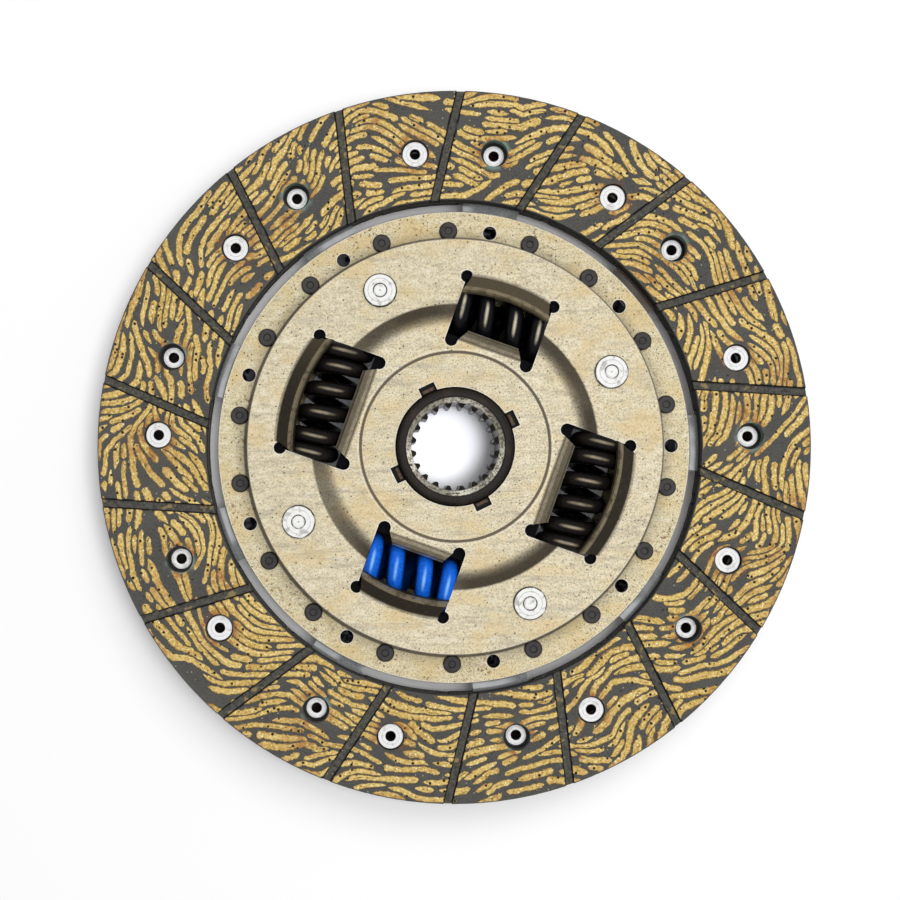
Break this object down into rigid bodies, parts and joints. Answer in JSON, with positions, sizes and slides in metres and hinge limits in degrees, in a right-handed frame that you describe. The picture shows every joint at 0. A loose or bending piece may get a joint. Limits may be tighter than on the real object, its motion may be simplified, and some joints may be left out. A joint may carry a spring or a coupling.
{
  "type": "clutch disc",
  "caption": "Friction disc for a dry single-plate clutch: riveted woven linings on cushion segments, with a spring torsion damper and a splined hub.",
  "frame": {"origin": "on the hub's axis, midway between the two friction faces", "axes": "+Z along the hub's axis, out of the side with the retaining plate; +Y towards clock angle 0 of the damper, 19.6 degrees before the first short spring"},
  "size_m": [0.2, 0.2, 0.024],
  "materials": {
    "friction_lining": "matt woven friction lining with brass wire yarn, dark resin between the yarns",
    "zinc_plate": "rolled steel with a thin champagne-gold zinc plating, slightly speckled",
    "cushion_steel": "grey-green tempered spring steel, oiled",
    "hub_steel": "dark phosphated steel, worn bright at the spline's lead chamfer",
    "spring_bronze_black": "oil-black spring wire with a warm sheen",
    "spring_black": "black spring wire",
    "spring_blue": "bright blue painted spring wire",
    "bright_rivet": "bright zinc-plated steel",
    "dark_rivet": "dark oiled steel",
    "dark_steel": "dark blued steel",
    "washer_fibre": "dark moulded friction fibre"
  },
  "bodies": {
    "disc": {"cone_spring_washer": "dark_steel", "cushion_rivets": "dark_rivet", "cushion_segment_1": "cushion_steel", "cushion_segment_2": "cushion_steel", "cushion_segment_3": "cushion_steel", "cushion_segment_4": "cushion_steel", "cushion_segment_5": "cushion_steel", "cushion_segment_6": "cushion_steel", "cushion_segment_7": "cushion_steel", "cushion_segment_8": "cushion_steel", "cushion_segment_9": "cushion_steel", "disc_plate": "zinc_plate", "facing_front": "friction_lining", "facing_rear": "friction_lining", "facing_rivets_front": "bright_rivet", "facing_rivets_rear": "bright_rivet", "front_friction_washer": "washer_fibre", "lugged_thrust_plate": "dark_steel", "rear_friction_bush": "washer_fibre", "retaining_plate": "zinc_plate", "stop_pins": "bright_rivet"},
    "hub": {"hub": "hub_steel"},
    "springs": {"damper_spring_long_1": "spring_bronze_black", "damper_spring_long_2": "spring_bronze_black", "damper_spring_short_1": "spring_black", "damper_spring_short_2": "spring_blue"}
  },
  "joints": [
    {"name": "damper_twist", "type": "hinge", "parent": "disc", "child": "hub", "pos_m": [0, 0, 0], "axis": [0, 0, 1], "range_deg": [-7, 7], "stiffness_Nm_per_rad": 900, "deforming": ["damper_spring_long_1", "damper_spring_long_2", "damper_spring_short_1", "damper_spring_short_2"]},
    {"name": "spring_follow", "type": "hinge", "parent": "disc", "child": "springs", "pos_m": [0, 0, 0], "axis": [0, 0, 1], "range_deg": [-3.5, 3.5]}
  ],
  "couplings": [
    {"joint": "spring_follow", "follows": "damper_twist", "ratio": 0.5}
  ]
}
